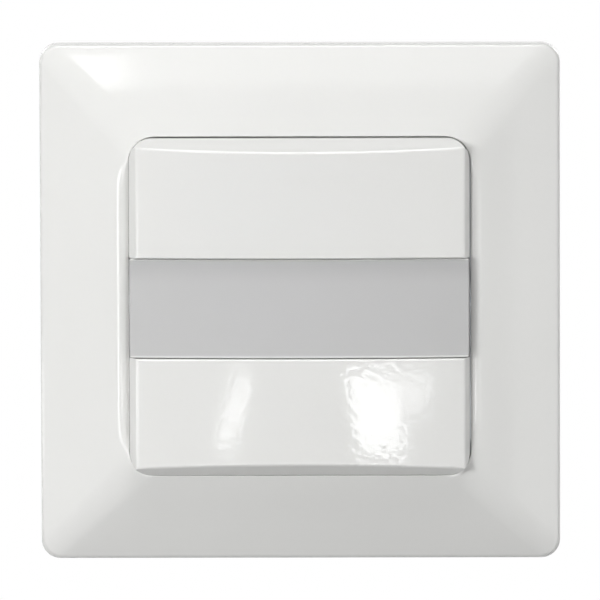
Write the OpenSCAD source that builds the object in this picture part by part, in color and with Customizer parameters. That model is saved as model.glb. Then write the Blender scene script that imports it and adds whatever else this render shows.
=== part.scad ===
// Flush-mounted motion sensor light switch: a square cover frame, a front cover with a full-width
// sensor lens, and the mechanism that sits behind them in a round wall box.
// Pieces are drawn face up, with their height above the wall along Z, and on_wall() stands them up.
// Standing, X is right, Z is up, the front faces -Y and the wall is the plane Y = 0.

/* [Cover frame] */
// Outer side of the square frame
frame_side = 84; // [82:0.5:88]
// Radius of the frame's outer corners
frame_corner_r = 3.1; // [1.5:0.1:5]
// Height of the upright rim at the outer edge
frame_rim_h = 2.6; // [2.2:0.1:3.2]
// Rounding between the rim and the slope
frame_edge_r = 1; // [0.4:0.1:1.4]
// Height of the frame at its opening, above the wall
frame_lip_h = 8; // [7.4:0.1:8.6]
// How far the slope bows outward, as a share of its rise
frame_bow = 0.12; // [0:0.02:0.25]
// Wall of the frame
frame_wall = 1.8; // [1.4:0.1:2.2]
// Wall of the skirt round the opening
lip_wall = 1.5; // [1:0.1:2]
// Height of the skirt's lower edge above the wall
lip_skirt_h = 4.4; // [4:0.1:5.4]
// Width of the eased edges at the left and right of the opening
ease_w = 1.5; // [0.6:0.1:2]
// Depth of the eased edges at the opening
ease_depth = 1; // [0.4:0.1:1.4]
// Length of the eased edges at their full width
ease_l = 40; // [30:1:42]
// Run over which each eased edge fades out at its ends
ease_fade = 5; // [2:0.5:6]

/* [Front cover] */
// Outer side of the square front cover
cover_side = 54.6; // [54:0.1:55.4]
// Gap between the front cover and the frame's opening
cover_gap = 0.3; // [0.2:0.05:0.6]
// Radius of the front cover's corners
cover_corner_r = 3.2; // [2.4:0.1:4]
// Height at which the front cover's sides start to lean in
cover_shoulder_h = 7.9; // [7.4:0.1:8.4]
// Height of the middle of the front above the wall
cover_crown_h = 11; // [10.4:0.1:12]
// How much the middle of the front stands ahead of its left and right edges
cover_crown_rise = 1; // [0.4:0.1:1.4]
// Lean of the top and bottom sides, as inset for each millimetre of height
cover_end_lean = 0.7; // [0.4:0.05:0.9]
// Lean of the left and right sides, as inset for each millimetre of height
cover_side_lean = 0.5; // [0.3:0.05:0.7]
// Wall of the front cover
cover_wall = 1.6; // [1.2:0.1:2]
// Height of the front cover's lower edge above the wall
cover_skirt_h = 4.2; // [4:0.1:5]
// Thickness of the ribs beside the lens band
rib_t = 1.2; // [0.8:0.1:1.6]
// Height of the ribs' lower edge above the wall
rib_base_h = 5.2; // [4.8:0.1:6]
// Length of each prong that holds the front cover
prong_l = 5; // [4:0.2:6]
// Thickness of each prong
prong_t = 2.4; // [2:0.1:2.8]
// Prongs' distance from the middle, across
prong_x = 15; // [13:0.5:16]
// Prongs' distance from the front cover's top and bottom sides
prong_in = 5.1; // [4.9:0.1:5.4]
// Play between a prong and its socket
prong_fit = 0.1; // [0.05:0.05:0.2]
// Gap below a prong's tip
prong_tip_gap = 0.4; // [0.2:0.1:1]

/* [Lens] */
// Height of the lens band
lens_h = 15.6; // [14:0.2:17]
// Thickness of the lens
lens_wall = 0.9; // [0.7:0.1:1.2]
// How far the lens lies below the front cover's surface
lens_recess = 0.3; // [0.2:0.05:0.6]
// Gap from the lens's ends to the front cover's sides
lens_end_gap = 0.25; // [0.1:0.05:0.5]
// Seam between the lens and each plate
lens_seam = 0.35; // [0.2:0.05:0.6]
// Height of the front cover's rails that the lens's ends stand on
rail_h = 6.4; // [6:0.1:7]
// Wall of the lens holder
holder_wall = 1.2; // [0.8:0.1:1.6]
// Play round the lens holder
holder_fit = 0.15; // [0.1:0.05:0.3]
// Height of the holder's lower edge above the wall
holder_base_h = 5; // [4.8:0.1:6]

/* [Support plate] */
// Side of the square support plate
plate_side = 71; // [70:0.5:72]
// Radius of the plate's corners
plate_corner_r = 5; // [3:0.5:8]
// Thickness of the plate
plate_t = 1.5; // [1.2:0.1:1.6]
// Distance between the two box screws of a pair
box_screw_pitch = 60; // [59.5:0.1:61]
// Width of a box screw's slot
box_slot_w = 3.6; // [3.4:0.1:3.8]
// Length of a box screw's slot
box_slot_l = 5.2; // [4.4:0.1:5.6]
// Sheet left round the box screws' slots
slot_margin = 2.5; // [2:0.1:2.9]
// Width of each upright tongue
tongue_w = 8; // [6:0.5:10]
// Height of the tongues above the wall
tongue_h = 3.4; // [3:0.1:3.6]
// Distance from the frame's outer sides to the tongues' outer faces
tongue_in = 8; // [7.6:0.1:8.6]
// Tongues' distance from the middle, up and down
tongue_y = 17; // [14:0.5:22]
// Thickness of the frame's grip ribs
grip_t = 1.2; // [0.8:0.1:1.4]
// Play between a tongue and the grip ribs
grip_fit = 0.15; // [0.1:0.05:0.3]
// Gap between the grip ribs and the plate
grip_gap = 0.4; // [0.2:0.1:0.8]

/* [Housing] */
// Width of the housing behind the wall
body_w = 38; // [37.4:0.2:38.4]
// Height of the housing behind the wall
body_h = 45; // [44.4:0.2:45.6]
// Wall of the rear housing
body_wall = 1.5; // [1.3:0.1:1.6]
// Radius of the housing's upright edges
body_corner_r = 4; // [3:0.5:5]
// Room behind the relay
relay_room = 0.4; // [0.2:0.1:2]
// Width of the deck in front of the plate
deck_w = 43; // [41:0.5:43.4]
// Height of the deck in front of the plate
deck_h = 50; // [49.6:0.1:51]
// Thickness of the deck
deck_t = 1.5; // [1.2:0.1:1.8]
// Radius of the deck's corners
deck_corner_r = 3; // [2:0.5:4]
// Depth of the front housing's neck behind the wall
neck_depth = 5; // [4.8:0.1:6.5]
// Wall of the neck
neck_wall = 1.4; // [1.2:0.1:1.6]
// Play between the neck and the rear housing
neck_fit = 0.1; // [0.05:0.05:0.2]
// Play between the neck and the plate's opening
plate_fit = 0.2; // [0.1:0.05:0.3]
// Height of the prong sockets above the deck
socket_h = 3.4; // [2.6:0.1:4]
// Wall of the prong sockets
socket_wall = 0.9; // [0.7:0.05:1]
// Width of the sensor chamber
chamber_w = 28; // [26:0.5:29]
// Height of the sensor chamber
chamber_h = 13; // [11:0.5:13.4]
// Wall of the sensor chamber
chamber_wall = 1.2; // [0.8:0.1:1.4]
// Housing screws' distance from the cavity's left and right sides
boss_in_x = 3.7; // [3.4:0.1:3.9]
// Housing screws' distance from the cavity's top and bottom sides
boss_in_y = 3.8; // [3.6:0.1:4.2]
// Radius of the screw bosses
boss_r = 2.5; // [2.2:0.1:2.6]
// Radius of the bosses' lower part, which carries the power board
boss_foot_r = 3.4; // [3.1:0.1:3.6]
// Radius of the housing screws
body_screw_r = 1.25; // [1.1:0.05:1.4]
// Radius of the housing screws' heads
body_head_r = 2.3; // [2:0.1:2.4]
// Height of the housing screws' heads
body_head_h = 1.5; // [1.2:0.1:1.8]
// How far the housing screws' heads are sunk
body_head_sink = 0.4; // [0.2:0.1:0.8]
// Play round a screw in a clearance hole
screw_fit = 0.12; // [0.08:0.02:0.2]
// Play round a screw in its own thread
thread_fit = 0.03; // [0.02:0.01:0.05]

/* [Boards] */
// Thickness of the circuit boards
board_t = 1.6; // [1.2:0.1:1.8]
// Play round the boards
board_fit = 0.3; // [0.2:0.05:0.5]
// Distance between the two boards
board_gap = 3.8; // [3.2:0.1:5]
// Number of pins of the board header
header_pins = 5; // [3:1:6]
// Distance between the header's pins
header_pitch = 2.54; // [2:0.01:2.54]
// Side of a header pin
header_pin = 0.64; // [0.5:0.02:0.7]
// How far pins stand out of the power board
header_out = 0.8; // [0.5:0.1:1]
// Header's middle, across
header_x = -6; // [-7:0.5:-4]
// Gap between the relay and the middle of the header
header_gap = 1.15; // [1:0.05:1.4]

/* [Sensor board parts] */
// Radius of the infrared sensor's can
pir_r = 4.1; // [3.6:0.1:4.4]
// Radius of the can's flange
pir_flange_r = 4.6; // [4.5:0.1:5]
// Height of the can
pir_h = 4.3; // [3.8:0.1:5]
// Width of the sensor's window
pir_window_w = 5; // [4:0.1:5.2]
// Height of the sensor's window
pir_window_h = 4; // [3:0.1:4.4]
// Thickness of the sensor's window
pir_window_t = 0.4; // [0.3:0.05:0.6]
// Distance of the lamp and the light sensor from the middle
eye_x = 10; // [8.5:0.5:10.5]
// Radius of the indicator lamp
led_r = 1.5; // [1.2:0.1:2]
// Height of the indicator lamp's straight part
led_h = 3.4; // [2.5:0.1:4]
// Radius of the light sensor
cell_r = 2.5; // [2:0.1:2.8]
// Height of the light sensor
cell_h = 2; // [1.5:0.1:2.5]
// Adjusters' distance from the middle, across
trimmer_x = 6.5; // [6:0.1:6.8]
// Adjusters' distance from the cavity's bottom side
trimmer_in = 7; // [6.6:0.1:7.6]
// Side of an adjuster's base
trimmer_side = 6.6; // [6:0.1:7]
// Height of an adjuster's base
trimmer_base_h = 3.4; // [3:0.1:4]
// Radius of an adjuster's rotor
rotor_r = 2.6; // [2.2:0.1:2.8]
// Gap between a rotor and the deck's hole
rotor_fit = 0.4; // [0.3:0.05:0.5]
// How far the rotors end below the deck's face
rotor_sink = 0.4; // [0.2:0.1:0.8]
// Width of the rotors' cross slots
rotor_slot_w = 0.8; // [0.6:0.1:1]
// Depth of the rotors' cross slots
rotor_slot_d = 1; // [0.6:0.1:1.4]
// Length of the control chip
chip_l = 9.9; // [8:0.1:10.4]
// Width of the control chip's body
chip_w = 3.9; // [3.6:0.1:4.4]
// Height of the control chip
chip_h = 1.6; // [1.2:0.1:2]
// Control chip's distance from the cavity's top side
chip_in = 7.2; // [6.8:0.1:7.6]
// Distance between the control chip's leads
chip_lead_pitch = 1.27; // [1:0.01:1.3]
// Width of the control chip's leads
chip_lead_w = 0.4; // [0.3:0.05:0.5]
// Thickness of the control chip's leads
chip_lead_t = 0.25; // [0.15:0.05:0.4]
// Reach of the control chip's leads from its body
chip_lead_l = 1; // [0.8:0.05:1.2]
// Gap below the control chip's body
chip_stand = 0.15; // [0.1:0.05:0.3]

/* [Power board parts] */
// Length of the relay
relay_l = 19.2; // [17:0.2:19.6]
// Width of the relay
relay_w = 10.2; // [9.6:0.1:10.4]
// Height of the relay
relay_h = 15.2; // [14:0.1:16]
// Gap between the relay and the cavity's left side
relay_side_gap = 1.1; // [0.8:0.1:2]
// Gap between the relay and the cavity's top side
relay_end_gap = 0.9; // [0.6:0.1:1]
// Rounding of the relay's and the film capacitor's upright edges
case_edge_r = 0.6; // [0.3:0.1:1]
// Length of the film capacitor
film_l = 17.4; // [16:0.2:18]
// Width of the film capacitor
film_w = 7; // [6:0.2:7.4]
// Height of the film capacitor
film_h = 13; // [11:0.2:14]
// Gap between the film capacitor and the cavity's left side
film_side_gap = 2; // [1:0.1:3]
// Gap between the middle of the header and the film capacitor
film_gap = 2.05; // [1.2:0.05:2.4]
// Radius of the electrolytic capacitor
lytic_r = 4; // [3:0.1:4.2]
// Height of the electrolytic capacitor
lytic_h = 12; // [10:0.2:13]
// Distance of the electrolytic capacitor's groove from its base
lytic_groove = 2; // [1.5:0.1:3]
// Half the width and the depth of the groove
lytic_groove_r = 0.4; // [0.2:0.05:0.5]
// Bevel of the electrolytic capacitor's edges
lytic_bevel = 0.3; // [0.2:0.05:0.4]
// Gap between the electrolytic capacitor and the cavity's right side
lytic_side_gap = 2; // [1:0.1:3]
// Electrolytic capacitor's middle, up
lytic_y = 6.4; // [6:0.1:6.8]
// Radius of the varistor's disc
varistor_r = 5; // [4:0.1:5.2]
// Thickness of the varistor's disc
varistor_t = 4; // [3:0.1:4.4]
// Bevel of the varistor's edges
varistor_bevel = 1; // [0.4:0.1:1.4]
// Gap between the varistor and the cavity's right side
varistor_side_gap = 3.7; // [3:0.1:4.4]
// Varistor's middle, up
varistor_y = -4.4; // [-4.6:0.1:-4]
// Radius of the fusible resistor
resistor_r = 1.5; // [1.2:0.1:1.7]
// Length of the fusible resistor
resistor_l = 8; // [6:0.2:9]
// Resistor's middle, across
resistor_x = -7; // [-8:0.1:-6]
// Resistor's middle, up
resistor_y = -6; // [-6.6:0.1:-5]
// Radius of the leads
lead_r = 0.4; // [0.3:0.05:0.5]

/* [Terminals] */
// Distance between the terminals
term_pitch = 5.08; // [5:0.02:5.1]
// Depth of the terminal block, from its wire side to its back
term_d = 9.6; // [9.4:0.1:10]
// How far the block's wire side lies inside the housing's lower side
term_inset = 1.1; // [0.8:0.1:1.4]
// Wall on the block's wire side, which the wire bores pass through
term_wall = 1.8; // [1.4:0.1:2]
// Wall between two terminals
term_web = 0.9; // [0.8:0.05:1]
// Wall at each end of the block
term_end = 0.5; // [0.4:0.1:0.8]
// Radius of the wire bores
wire_r = 1.3; // [1.1:0.05:1.35]
// Radius of the terminal screws
term_screw_r = 1.4; // [1.2:0.05:1.45]
// Radius of the terminal screws' heads
term_head_r = 1.9; // [1.7:0.05:2]
// Height of the terminal screws' heads
term_head_h = 1.8; // [1.4:0.1:2.2]
// How far the terminal screws' heads are sunk
term_head_sink = 0.6; // [0.3:0.1:1]
// Thickness of the shoulder under each head
term_shoulder = 0.8; // [0.6:0.1:1.2]
// Way that a clamp cage travels
cage_travel = 2.4; // [1.6:0.1:2.5]
// Length of a clamp cage along the wire
cage_l = 5.2; // [4.6:0.1:5.4]
// Thickness of a cage's bars across the screw
cage_bar = 1.1; // [0.9:0.1:1.4]
// Thickness of a cage's side walls
cage_side = 0.5; // [0.4:0.05:0.6]
// Play between a cage and its cell
cage_fit = 0.15; // [0.1:0.05:0.2]
// Thickness of the contact bars
contact_t = 0.8; // [0.6:0.1:1]
// Gap between a contact bar and the cage's upper bar
contact_gap = 0.2; // [0.1:0.05:0.3]
// Side of a contact's solder pin
contact_pin = 0.9; // [0.7:0.1:1]
// Play round the block in the housing
term_fit = 0.25; // [0.15:0.05:0.4]

/* [Claws] */
// Width of a claw
claw_w = 9; // [8:0.2:10]
// Thickness of a claw's sheet
claw_t = 1.2; // [1:0.1:1.4]
// Depth of a claw below its pin
claw_l = 17; // [14:0.5:18]
// Length of a claw's toothed foot
claw_foot = 3; // [2:0.1:3.4]
// Depth of a claw's tab below its pin
claw_tab_d = 3.2; // [3:0.1:3.4]
// Radius of a claw's knuckle
claw_eye_r = 2; // [1.8:0.1:2.1]
// Pins' distance from the housing's side
claw_out = 2.3; // [2.2:0.1:2.5]
// Pins' distance behind the wall
claw_deep = 4.5; // [4:0.1:5]
// Radius of the pins
pin_r = 1; // [0.8:0.05:1.1]
// Play of a claw on its pin
pin_fit = 0.06; // [0.04:0.01:0.1]
// Thickness of the lugs that hold the pins
lug_t = 1.6; // [1.2:0.1:2]
// Gap between a claw and its lugs
lug_gap = 0.3; // [0.2:0.1:0.5]
// Gap between a claw's knuckle and its screw
claw_screw_gap = 0.3; // [0.2:0.05:0.5]
// Radius of the claw screws
claw_screw_r = 1.4; // [1.2:0.05:1.45]
// Radius of the claw screws' heads
claw_head_r = 2.2; // [2:0.05:2.25]
// Height of the claw screws' heads
claw_head_h = 1.8; // [1.4:0.1:2]
// Free space round the claw screws' heads
claw_head_room = 1.2; // [0.8:0.1:1.3]
// Reach of the claw screws behind the wall
claw_screw_l = 13; // [11:0.5:15]
// Width of the slots in the screw heads
head_slot_w = 0.7; // [0.5:0.1:0.9]
// Depth of the slots in the screw heads
head_slot_d = 0.8; // [0.5:0.1:1]

/* [Hidden] */
$fn = 48;
big_fn = 1440;
ring_steps = 8;
slope_steps = 6;
overlap = 0.4;
past = 1;

frame_half = frame_side / 2;
cover_half = cover_side / 2;
open_half = cover_half + cover_gap;
open_inset = frame_half - open_half;
open_corner_r = cover_corner_r + cover_gap;
slope_foot = frame_edge_r * (1 + cos(115));
slope_foot_h = frame_rim_h - frame_edge_r * (1 - sin(115));
crown_r = (cover_half * cover_half + cover_crown_rise * cover_crown_rise) / (2 * cover_crown_rise);

tongue_x = frame_half - tongue_in;
prong_y = cover_half - prong_in;
deck_top = plate_t + deck_t;
socket_top = deck_top + socket_h;
lens_half = cover_half - lens_end_gap;
band_half = lens_h / 2 + lens_seam;
holder_half = cover_half - cover_wall - holder_fit;

cavity_w = body_w - 2 * body_wall;
cavity_h = body_h - 2 * body_wall;
cavity_corner_r = body_corner_r - body_wall;
neck_w = cavity_w - 2 * neck_fit;
neck_h = cavity_h - 2 * neck_fit;
boss_x = cavity_w / 2 - boss_in_x;
boss_y = cavity_h / 2 - boss_in_y;
board_w = cavity_w - 2 * board_fit;
board_h = cavity_h - 2 * board_fit;
sensor_front = -neck_depth;
sensor_rear = sensor_front - board_t;
power_front = sensor_rear - board_gap;
power_rear = power_front - board_t;
floor_in = power_rear - relay_h - relay_room;
floor_out = floor_in - body_wall;
head_seat = floor_out + body_head_sink + body_head_h;

trimmer_y = cavity_h / 2 - trimmer_in;
chip_y = cavity_h / 2 - chip_in;
relay_x = -cavity_w / 2 + relay_side_gap + relay_l / 2;
relay_y = cavity_h / 2 - relay_end_gap - relay_w / 2;
header_y = relay_y - relay_w / 2 - header_gap;
film_x = -cavity_w / 2 + film_side_gap + film_l / 2;
film_y = header_y - film_gap - film_w / 2;
lytic_x = cavity_w / 2 - lytic_side_gap - lytic_r;
varistor_x = cavity_w / 2 - varistor_side_gap - varistor_t / 2;

cell_w = term_pitch - term_web;
cage_w = cell_w - 2 * cage_fit;
block_half = 1.5 * term_pitch - term_web / 2 + term_end;
wire_side = -body_h / 2 + term_inset;
block_back = wire_side + term_d;
term_screw_y = wire_side + term_wall + cage_fit + cage_l / 2;
cage_foot = power_rear - cage_fit;
gap_floor = cage_foot - cage_bar;
wire_level = gap_floor - wire_r;
contact_top = gap_floor - 2 * wire_r;
contact_end = contact_top - contact_t;
upper_bar = contact_end - contact_gap;
cage_end = upper_bar - cage_bar;
shoulder_level = cage_end - cage_travel - cage_fit;
head_level = shoulder_level - term_shoulder;
block_end = head_level - term_head_h - term_head_sink;
contact_pin_y = block_back - term_web - contact_pin / 2;

claw_x = body_w / 2 + claw_out;
claw_screw_out = claw_eye_r + claw_screw_gap + claw_screw_r;
claw_screw_x = claw_x + claw_screw_out;
lug_r = claw_eye_r + 0.2;

// Placing and drawing helpers

module on_wall() {
    rotate([90, 0, 0]) children();
}

// An outline drawn in Y and Z, drawn out along X about the middle
module along_x(length) {
    rotate([90, 0, 90]) linear_extrude(length, center = true) children();
}

// An outline drawn in X and Z, drawn out along Y about the middle
module along_y(length) {
    rotate([90, 0, 0]) linear_extrude(length, center = true) children();
}

module rounded_rect(w, h, r) {
    square([w - 2 * r, h], center = true);
    square([w, h - 2 * r], center = true);
    for (x = [-1, 1], y = [-1, 1])
        translate([x * (w / 2 - r), y * (h / 2 - r)]) circle(r);
}

// A rounded plate between two heights
module slab(w, h, r, low, high) {
    translate([0, 0, low]) linear_extrude(high - low) rounded_rect(w, h, r);
}

// A box about the middle in X and Y, between two heights
module block(w, h, low, high) {
    translate([-w / 2, -h / 2, low]) cube([w, h, high - low]);
}

module rod(r, low, high) {
    translate([0, 0, low]) cylinder(r = r, h = high - low);
}

// The four places given by a distance across and one up and down
module four(x, y) {
    for (i = [-1, 1], j = [-1, 1])
        translate([i * x, j * y, 0]) children();
}

// The two places of the housing screws, on a diagonal
module at_bosses() {
    for (s = [-1, 1])
        translate([s * boss_x, s * boss_y, 0]) children();
}

module at_header() {
    for (k = [0 : header_pins - 1])
        translate([header_x + (k - (header_pins - 1) / 2) * header_pitch, header_y, 0]) children();
}

module at_terminal(k) {
    translate([(k - 1) * term_pitch, 0, 0]) children();
}

// A screw whose head points up from its seat, with a slot or a cross in the head
module screw(r, head_r, head_h, length, cross) {
    difference() {
        union() {
            rod(head_r, 0, head_h);
            rod(r, -length, overlap);
        }
        block(2 * head_r * (cross ? 0.7 : 1.2), head_slot_w, head_h - head_slot_d, head_h + past);
        if (cross)
            block(head_slot_w, 2 * head_r * 0.7, head_h - head_slot_d, head_h + past);
    }
}

// Cover frame

function slope_h(d) =
    let (t = (d - slope_foot) / (open_inset - slope_foot))
    slope_foot_h + (frame_lip_h - slope_foot_h) * (t + frame_bow * t * (1 - t));

function frame_section() = concat(
    [[0, 0]],
    [for (k = [0 : 4]) let (a = 180 - k * 65 / 4)
        [frame_edge_r * (1 + cos(a)), frame_rim_h - frame_edge_r * (1 - sin(a))]],
    [for (k = [1 : slope_steps]) let (d = slope_foot + k * (open_inset - slope_foot) / slope_steps)
        [d, slope_h(d)]],
    [[open_inset, lip_skirt_h],
     [open_inset - lip_wall, lip_skirt_h],
     [open_inset - lip_wall, slope_h(open_inset - lip_wall) - frame_wall],
     [frame_wall, slope_h(frame_wall) - frame_wall],
     [frame_wall, 0]]);

// The rounded square that lies a distance inside the frame's outer sides
function frame_ring(d, h) =
    let (r = frame_corner_r + (open_corner_r - frame_corner_r) * d / open_inset, c = frame_half - d - r)
    [for (q = [0 : 3], i = [0 : ring_steps])
        let (a = 90 * (q + i / ring_steps), x = (q == 0 || q == 3) ? c : -c, y = (q < 2) ? c : -c)
        [x + r * cos(a), y + r * sin(a), h]];

module frame_shell() {
    section = frame_section();
    rings = len(section);
    count = 4 * (ring_steps + 1);
    points = [for (p = section) each frame_ring(p[0], p[1])];
    faces = [for (j = [0 : rings - 1], i = [0 : count - 1])
        let (n = (j + 1) % rings, m = (i + 1) % count)
        each [[j * count + i, n * count + i, n * count + m],
              [j * count + i, n * count + m, j * count + m]]];
    polyhedron(points, faces, convexity = 6);
}

// Cuts the eased edge at the right of the opening, which fades out at both ends
module ease_cutter() {
    drop = frame_lip_h - slope_h(open_inset - ease_w);
    a = atan2(ease_depth - drop, ease_w);
    reach = 3;
    run = 4 * ease_w;
    translate([open_half, 0, frame_lip_h - ease_depth])
        rotate([0, -a, 0])
            translate([run / 2 - overlap, 0, 0])
                along_x(run)
                    polygon([
                        [-ease_l / 2, 0],
                        [ease_l / 2, 0],
                        [ease_l / 2 + reach * ease_fade, reach * ease_depth],
                        [-ease_l / 2 - reach * ease_fade, reach * ease_depth]
                    ]);
}

// One of the two ribs that hold a tongue between them
module grip_rib(inner) {
    top = slope_h(frame_half - inner - grip_t) - frame_wall / 2;
    translate([inner, -tongue_w / 2, plate_t + grip_gap])
        cube([grip_t, tongue_w, top - plate_t - grip_gap]);
}

module cover_frame() {
    color("whitesmoke") on_wall() {
        difference() {
            frame_shell();
            for (s = [0, 1]) mirror([s, 0, 0]) ease_cutter();
        }
        for (s = [0, 1], y = [-1, 1])
            mirror([s, 0, 0]) translate([0, y * tongue_y, 0]) {
                grip_rib(tongue_x + grip_fit);
                grip_rib(tongue_x - plate_t - grip_fit - grip_t);
            }
    }
}

// Front cover and lens

module crown_disc(drop) {
    translate([0, cover_crown_h - drop - crown_r]) circle(crown_r, $fn = big_fn);
}

// Upright sides to a shoulder, then leaning in to the top
module leaning_outline(half, base, shoulder, narrow, top) {
    polygon([
        [-half, base], [half, base], [half, shoulder],
        [narrow, top], [-narrow, top], [-half, shoulder]
    ]);
}

// The front cover's outer form, made smaller by an inset at the sides and a drop at the front
module cover_form(inset, drop, base) {
    half = cover_half - inset;
    shoulder = cover_shoulder_h - inset * 0.4;
    top = cover_crown_h - drop;
    ends = half - cover_end_lean * (top - shoulder);
    sides = half - cover_side_lean * (top - shoulder);
    intersection() {
        along_x(2 * half) leaning_outline(half, base, shoulder, ends, top);
        along_y(2 * half) intersection() {
            leaning_outline(half, base, shoulder, sides, top);
            crown_disc(drop);
        }
        slab(2 * half, 2 * half, cover_corner_r - inset, base, top);
    }
}

module front_cover() {
    color("white") on_wall() {
        difference() {
            cover_form(0, 0, cover_skirt_h);
            difference() {
                cover_form(cover_wall, cover_wall, cover_skirt_h - past);
                for (s = [-1, 1])
                    translate([0, s * (band_half + rib_t / 2), 0])
                        block(cover_side, rib_t, rib_base_h, cover_crown_h);
                four(prong_x, prong_y)
                    block(prong_l + 2 * socket_wall, prong_t + 2 * socket_wall, socket_top, cover_crown_h);
            }
            block(cover_side + past, 2 * band_half, rail_h, cover_crown_h + past);
        }
        four(prong_x, prong_y)
            block(prong_l, prong_t, plate_t + prong_tip_gap, socket_top + overlap);
    }
}

// A bowed outline that follows the front, from a base up to a drop below the front's surface
module bowed_outline(half, base, drop) {
    intersection() {
        translate([-half, base]) square([2 * half, cover_crown_h]);
        crown_disc(drop);
    }
}

module lens() {
    color("lightgray") on_wall() along_y(lens_h) difference() {
        bowed_outline(lens_half, rail_h, lens_recess);
        bowed_outline(lens_half - lens_wall, rail_h - past, lens_recess + lens_wall);
    }
}

module lens_holder() {
    depth = lens_h - 2 * holder_fit;
    color("gainsboro") on_wall() difference() {
        along_y(depth) bowed_outline(holder_half, holder_base_h, lens_recess + lens_wall + holder_fit);
        block(2 * (holder_half - holder_wall), depth - 2 * holder_wall, holder_base_h - past, cover_crown_h);
    }
}

// Support plate

module box_slot() {
    run = box_slot_l - box_slot_w;
    translate([box_screw_pitch / 2, 0, 0]) {
        block(run, box_slot_w, -past, plate_t + past);
        for (s = [-1, 1])
            translate([s * run / 2, 0, 0]) rod(box_slot_w / 2, -past, plate_t + past);
    }
}

// An upright tongue on an ear of the plate
module tongue() {
    ear = tongue_x - claw_screw_x;
    width = tongue_w - 2 * grip_fit;
    translate([tongue_x - ear / 2, 0, 0]) block(ear, width, 0, plate_t);
    translate([tongue_x - plate_t / 2, 0, 0]) block(plate_t, width, 0, tongue_h);
}

module support_plate() {
    reach = (box_screw_pitch + box_slot_l) / 2 + slot_margin;
    color("silver") on_wall() {
        difference() {
            union() {
                slab(plate_side, plate_side, plate_corner_r, 0, plate_t);
                for (a = [0 : 90 : 270]) rotate(a) translate([reach / 2, 0, 0])
                    block(reach, box_slot_w + 2 * slot_margin, 0, plate_t);
            }
            slab(neck_w + 2 * plate_fit, neck_h + 2 * plate_fit, cavity_corner_r, -past, plate_t + past);
            for (a = [0 : 90 : 270]) rotate(a) box_slot();
            for (s = [-1, 1])
                translate([s * claw_screw_x, 0, 0]) rod(claw_screw_r + screw_fit, -past, plate_t + past);
        }
        for (s = [0, 1], y = [-1, 1])
            mirror([s, 0, 0]) translate([0, y * tongue_y, 0]) tongue();
    }
}

// Housing

module housing_front() {
    color("gainsboro") on_wall() difference() {
        union() {
            slab(deck_w, deck_h, deck_corner_r, plate_t, deck_top);
            difference() {
                slab(neck_w, neck_h, cavity_corner_r, sensor_front, plate_t + overlap);
                slab(neck_w - 2 * neck_wall, neck_h - 2 * neck_wall, cavity_corner_r - neck_wall,
                    sensor_front - past, plate_t);
            }
            block(chamber_w + 2 * chamber_wall, chamber_h + 2 * chamber_wall,
                sensor_front, plate_t + overlap);
            at_bosses() rod(boss_r, sensor_front, plate_t + overlap);
            four(prong_x, prong_y)
                block(prong_l + 2 * socket_wall, prong_t + 2 * socket_wall, plate_t, socket_top);
        }
        block(chamber_w, chamber_h, sensor_front - past, deck_top + past);
        at_bosses() rod(body_screw_r + thread_fit, sensor_front - past, plate_t);
        for (s = [-1, 1])
            translate([s * trimmer_x, -trimmer_y, 0])
                rod(rotor_r + rotor_fit, plate_t - past, deck_top + past);
        four(prong_x, prong_y)
            block(prong_l + 2 * prong_fit, prong_t + 2 * prong_fit, plate_t - past, socket_top + past);
        for (s = [-1, 1])
            translate([s * claw_screw_x, 0, 0])
                rod(claw_head_r + claw_head_room, plate_t - past, deck_top + past);
    }
}

module claw_lug() {
    difference() {
        along_y(lug_t) {
            translate([body_w / 2 - overlap, -claw_deep - lug_r]) square([claw_out + overlap, 2 * lug_r]);
            translate([claw_x, -claw_deep]) circle(lug_r);
        }
        along_y(lug_t + past) translate([claw_x, -claw_deep]) circle(pin_r + thread_fit);
    }
}

// The open well for the terminal block, cut from the housing's lower side, or its walls round it
module terminal_well(wall, low, high) {
    width = 2 * (block_half + term_fit + wall);
    translate([-width / 2, -body_h / 2 - (wall > 0 ? 0 : past), low])
        cube([width, block_back + term_fit + wall + body_h / 2 + (wall > 0 ? 0 : past), high - low]);
}

module housing_rear() {
    color("lightgray") on_wall() {
        difference() {
            union() {
                difference() {
                    slab(body_w, body_h, body_corner_r, floor_out, 0);
                    slab(cavity_w, cavity_h, cavity_corner_r, floor_in, past);
                }
                at_bosses() rod(boss_foot_r, floor_in - overlap, power_rear);
                at_bosses() rod(boss_r, power_rear - overlap, sensor_rear);
                terminal_well(body_wall, floor_out, power_rear - cage_fit);
            }
            terminal_well(0, floor_out - past, power_rear);
            at_bosses() rod(body_screw_r + screw_fit, floor_out - past, sensor_rear + past);
            at_bosses() rod(body_head_r + screw_fit, floor_out - past, head_seat);
        }
        for (s = [0, 1], y = [-1, 1])
            mirror([s, 0, 0]) translate([0, y * (claw_w / 2 + lug_gap + lug_t / 2), 0]) claw_lug();
    }
}

module housing_screws() {
    length = -head_seat - overlap;
    color("silver") on_wall() at_bosses() translate([0, 0, head_seat]) rotate([180, 0, 0])
        screw(body_screw_r, body_head_r, body_head_h, length, true);
}

// Boards and what they carry

module board(low) {
    slab(board_w, board_h, cavity_corner_r, low, low + board_t);
}

module at_header_holes(low) {
    at_header() rod(header_pin * 0.75, low - past, low + board_t + past);
}

module sensor_board() {
    color("seagreen") on_wall() difference() {
        board(sensor_rear);
        at_bosses() rod(body_screw_r + screw_fit, sensor_rear - past, sensor_front + past);
        at_header_holes(sensor_rear);
    }
}

module power_board() {
    color("seagreen") on_wall() difference() {
        board(power_rear);
        at_bosses() rod(boss_r + screw_fit, power_rear - past, power_front + past);
        at_header_holes(power_rear);
        for (k = [0 : 2])
            at_terminal(k) translate([0, contact_pin_y, 0])
                rod(contact_pin * 0.8, power_rear - past, power_front + past);
    }
}

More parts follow.
